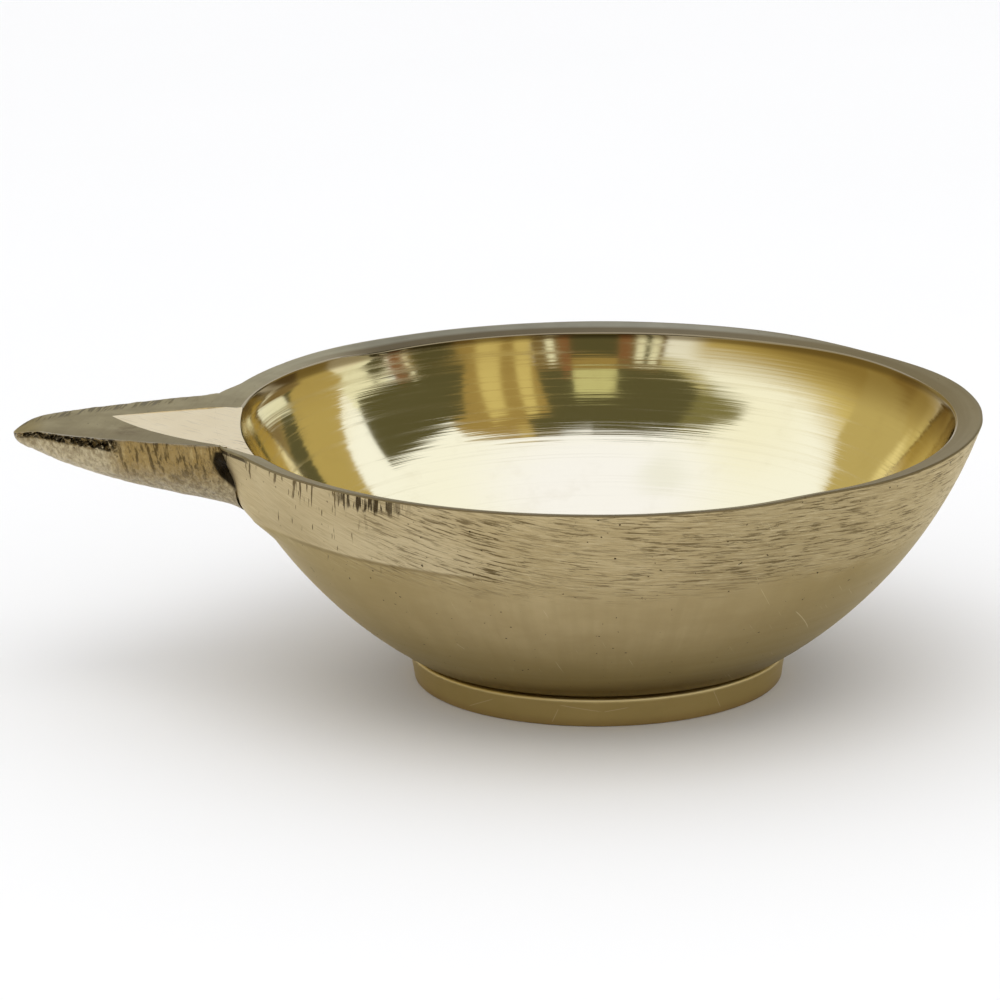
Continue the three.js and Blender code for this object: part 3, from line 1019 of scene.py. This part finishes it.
def foot_finish():
    s = Surface("foot_finish")
    lines = grain(s.tree, s.x / 30, s.y / 30, s.z / 0.22, 3.0, 0.6)
    cloud = s.grain(5, 5, 3, 6.1, 4.0, 0.6)
    # Painted highlight: a lighter band along the foot ring's top edge
    edge = s.z.step(2.3, 2.55)
    colour = s.mix(cloud, FOOT_DARK, FOOT_LIGHT)
    colour = s.mix(edge * 0.6, colour, FOOT_EDGE_HIGHLIGHT)
    colour = s.mix((1.0 - s.z.step(0.1, 1.0)) * 0.35, colour, FOOT_LOW_BROWN)
    for start, end in FOOT_SCRATCHES:
        colour = s.mix(s.scratch(FOOT_RADIUS, start, end) * 0.4, colour, FOOT_SCRATCH)
    roughness = 0.3 + 0.12 * lines
    relief = 0.006 * lines + 0.02 * cloud
    return s.finish(colour, roughness, relief, edge_tint=TURNED_EDGE)


# ---------------------------------------------------------------- pieces

def make_bowl():
    mesh = build_bowl()
    for material in (filed_and_turned(), ground_rim(), polished_inside(), CHANNEL_FINISH):
        mesh.materials.append(material)
    bowl = new_piece("bowl_body", mesh)
    cut_channel(bowl, 0.0, BOWL_KINDS.index("channel"))
    shade(bowl, 34)
    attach(bowl, "root")
    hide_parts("bowl")


def make_spout():
    mesh = build_spout()
    for material in (cast_side(), ground_top(), CHANNEL_FINISH):
        mesh.materials.append(material)
    spout = new_piece("spout_body", mesh)
    cut_channel(spout, SPOUT_CUT_LIFT, SPOUT_KINDS.index("channel"))
    shade(spout, 50)
    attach(spout, "root")
    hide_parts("spout")


def make_foot():
    mesh = build_foot()
    mesh.materials.append(foot_finish())
    foot = new_piece("foot_body", mesh)
    shade(foot, 40)
    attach(foot, "root")
    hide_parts("foot_ring")


# ---------------------------------------------------------------- studio

FLOOR_HALF = 6.0
FLOOR_COLOUR = (0.88, 0.88, 0.88)
PALE = (0.90, 0.90, 0.90)
CEILING = (1.03, 1.12, 1.45)
WALL_TOP = 67.5
WALL_FALL = 5.45e-5
WALL_POWER = 2.9
OLIVE = (0.105, 0.10, 0.055)
BROWN = (0.22, 0.165, 0.085)
RUST = (0.25, 0.13, 0.07)
TAN = (0.36, 0.27, 0.11)
TAN_RIGHT = (0.52, 0.44, 0.215)
GOLD = (0.64, 0.55, 0.27)
GOLD_DIM = (0.48, 0.39, 0.17)
SHADE = (0.86, 0.95, 1.20)
SOFT_LIGHT = (1.0, 1.0, 1.0)
SHEEN = (0.57, 0.58, 0.36)
CREAM = (0.90, 0.95, 0.95)
ZENITH = (1.04, 1.14, 1.75)
WARM_SIDE = (0.98, 1.03, 1.12)
YELLOW = (0.60, 0.51, 0.24)
YELLOW_BRIGHT = (0.80, 0.72, 0.42)
HAZE = (0.52, 0.49, 0.30)
OLIVE_LIGHT = (0.21, 0.20, 0.10)


def make_floor():
    mesh = bpy.data.meshes.new("floor")
    half = FLOOR_HALF
    corners = [(-half, -half, 0), (half, -half, 0), (half, half, 0), (-half, half, 0)]
    mesh.from_pydata(corners, [], [(0, 1, 2, 3)])
    s = Surface("studio_floor")
    soft = s.grain(60, 60, 60, 1.5, 2.0, 0.5)
    colour = s.mix(soft, FLOOR_COLOUR, PALE)
    mesh.materials.append(s.finish(colour, 0.8, 0.0, metallic=0.0))
    floor = new_piece("floor", mesh)


def make_sky():
    """Soft studio surroundings by direction: a white ceiling, pale walls and a darker wall with openings.

    Directions are degrees sideways from the -Y side, positive towards +X, and degrees up.
    """
    world = bpy.data.worlds.new("studio")
    world.use_nodes = True
    tree = world.node_tree
    tree.nodes.clear()
    place = tree.nodes.new("ShaderNodeTexCoord")
    x, y, z = split(tree, Field(tree, place.outputs["Generated"]))
    up = z.math("ARCSINE", z) * (180 / math.pi)
    way = x.math("ARCTAN2", x, 0.0 - y) * (180 / math.pi)
    wall_top = WALL_TOP - WALL_FALL * way.size() ** WALL_POWER

    def between(value, low, high, soft):
        return (value - low).step(-soft, soft) * (1.0 - (value - high).step(-soft, soft))

    def patch(colour, fill, first, last, low, high, soft=0.9, lean=0.0):
        """Fills a stretch of directions between two elevations; lean turns it as it rises."""
        sideways = way - lean * (up - 45.0)
        return mix(tree, between(sideways, first, last, soft) * between(up, low, high, soft), colour, fill)

    left_top = 46.0 + 0.09 * way
    colour = mix(tree, up.step(20, 34), PALE, CEILING)
    colour = mix(tree, up.step(52, 80), colour, ZENITH)
    colour = mix(tree, between(way, -105, -45, 20) * between(up, 38, 60, 8) * 0.6, colour, WARM_SIDE)
    colour = mix(tree, between(way, -100, -58, 12) * between(up, 69, 79, 4) * 0.5, colour, SHADE)
    colour = mix(tree, between(way, -176, -42, 5) * between(up, 5, left_top - 2.0, 5), colour, GOLD)
    colour = mix(tree, between(way, -176, -30, 5) * between(up, 5, left_top - 9.0, 4), colour, GOLD_DIM)
    colour = patch(colour, TAN_RIGHT, -175, -126, 14, 33, 1.2, -0.7)
    colour = patch(colour, YELLOW, -162, -146, 5, 18, 3.0)
    colour = patch(colour, YELLOW_BRIGHT, -151, -143, 12.5, 19, 2.0)
    colour = patch(colour, TAN, -134, -119, 5, 14.5, 3.5)
    colour = patch(colour, HAZE, -58, -28, 43.5 + 0.006 * (way + 28.0) * (way + 28.0), 52, 2.5)
    colour = patch(colour, OLIVE, -75, 0, 46.5 + 0.006 * (way + 28.0) * (way + 28.0), wall_top + 0.8)
    colour = patch(colour, OLIVE_LIGHT, -76, -52, 48.0, wall_top + 0.4, 3.0)
    colour = patch(colour, OLIVE, -20, 24, 45, wall_top)
    colour = patch(colour, BROWN, -30, 22, 30, 48)
    colour = patch(colour, CREAM, -28, -19, 30, 46)
    colour = patch(colour, OLIVE, -24.5, -22.5, 30, 46, 0.5)
    colour = patch(colour, OLIVE, -12, 7, 30, 45)
    colour = patch(colour, TAN, -12, 7, 45, 48)
    colour = patch(colour, SHEEN, -12.5, 7, 48.5, 57, 0.6)
    colour = patch(colour, RUST, -17, -12.5, 38, 46)
    colour = patch(colour, RUST, 7, 11, 38, 50)
    colour = patch(colour, CREAM, 13, 16, 38, 46, 0.6)
    colour = patch(colour, TAN, 22, 72, 30, wall_top + 0.6)
    colour = patch(colour, GOLD, 23.5, 30, 30, 60, 1.0, 0.35)
    colour = patch(colour, GOLD, 37, 47, 30, 57, 1.5, 0.6)
    colour = patch(colour, GOLD_DIM, 38, 46, 61.5, wall_top + 0.6)
    colour = patch(colour, OLIVE, 20, 37, 60.5, wall_top, 1.2)
    colour = patch(colour, CREAM, 78, 100, 19, 33)
    colour = patch(colour, OLIVE, 55, 115, 35.0 - 0.2 * (way - 72.0),
                   51.3 - 0.0053 * (way - 66.0) * (way - 66.0), 1.0, 1.2)
    colour = patch(colour, OLIVE, 50, 68, 26, 38, 1.5)
    colour = patch(colour, CREAM, 69.3, 71, 30, 37, 0.4)
    colour = patch(colour, RUST, 71, 77, 28, 35.5)
    colour = patch(colour, OLIVE, 77, 86, 24, 31)
    colour = patch(colour, GOLD_DIM, 96, 160, 5, 25.0 + 0.27 * (way - 97.0), 0.8)
    colour = patch(colour, OLIVE, 117, 150, 11.5, 18.0 + 0.34 * (way - 132.5))
    colour = patch(colour, BROWN, 112, 150, 3, 11.5, 1.5)
    stripe = 6.0 - 0.5 * (way - 136.0)
    colour = patch(colour, CREAM, 125, 144, stripe, stripe + 3.6)
    colour = patch(colour, CREAM, 151, 158, 3, 30, 1.5)
    colour = patch(colour, OLIVE, 150, 179, 30, 52, 5.0)
    rays = tree.nodes.new("ShaderNodeLightPath")
    colour = mix(tree, Field(tree, rays.outputs["Is Diffuse Ray"]), colour, SOFT_LIGHT)
    shader = tree.nodes.new("ShaderNodeBackground")
    connect(tree, colour, shader.inputs["Color"])
    output = tree.nodes.new("ShaderNodeOutputWorld")
    tree.links.new(shader.outputs[0], output.inputs[0])
    bpy.context.scene.world = world


def make_light(name, azimuth, elevation, distance, size, power):
    """A square soft light aimed at the lamp; azimuth 0 is the -Y side and 90 the +X side."""
    data = bpy.data.lights.new(name, "AREA")
    data.size = size
    data.energy = power
    light = bpy.data.objects.new(name, data)
    a, e = math.radians(azimuth), math.radians(elevation)
    away = Vector((math.sin(a) * math.cos(e), -math.cos(a) * math.cos(e), math.sin(e)))
    light.location = Vector((AXIS_X, 0, 0.01)) + away * distance
    light.rotation_euler = away.to_track_quat("Z", "Y").to_euler()
    light.visible_glossy = False
    bpy.context.scene.collection.objects.link(light)


def make_camera():
    turn = Matrix.Rotation(math.radians(VIEW_AZIMUTH), 3, "Z")
    elevation = math.radians(VIEW_ELEVATION)
    roll = math.radians(VIEW_ROLL)
    forward = Vector((0, math.cos(elevation), -math.sin(elevation)))
    right = Vector((1, 0, 0))
    up = Vector((0, math.sin(elevation), math.cos(elevation)))
    rolled_right = right * math.cos(roll) + up * math.sin(roll)
    rolled_up = up * math.cos(roll) - right * math.sin(roll)
    place = turn @ (Vector(VIEW_TARGET) - forward * VIEW_DISTANCE) * MM + Vector((AXIS_X, 0, 0))
    axes = Matrix((turn @ rolled_right, turn @ rolled_up, turn @ -forward)).transposed()
    data = bpy.data.cameras.new("camera")
    data.lens = LENS
    data.sensor_width = SENSOR
    data.clip_start = 0.01
    data.clip_end = 50
    camera = bpy.data.objects.new("camera", data)
    camera.matrix_world = Matrix.Translation(place) @ axes.to_4x4()
    bpy.context.scene.collection.objects.link(camera)
    bpy.context.scene.camera = camera


make_camera()
CHANNEL_FINISH = scraped_channel()
make_bowl()
make_spout()
make_foot()
make_floor()
make_sky()
make_light("soft_top", azimuth=10, elevation=70, distance=1.2, size=0.9, power=3)
bpy.context.scene.view_settings.view_transform = "Standard"
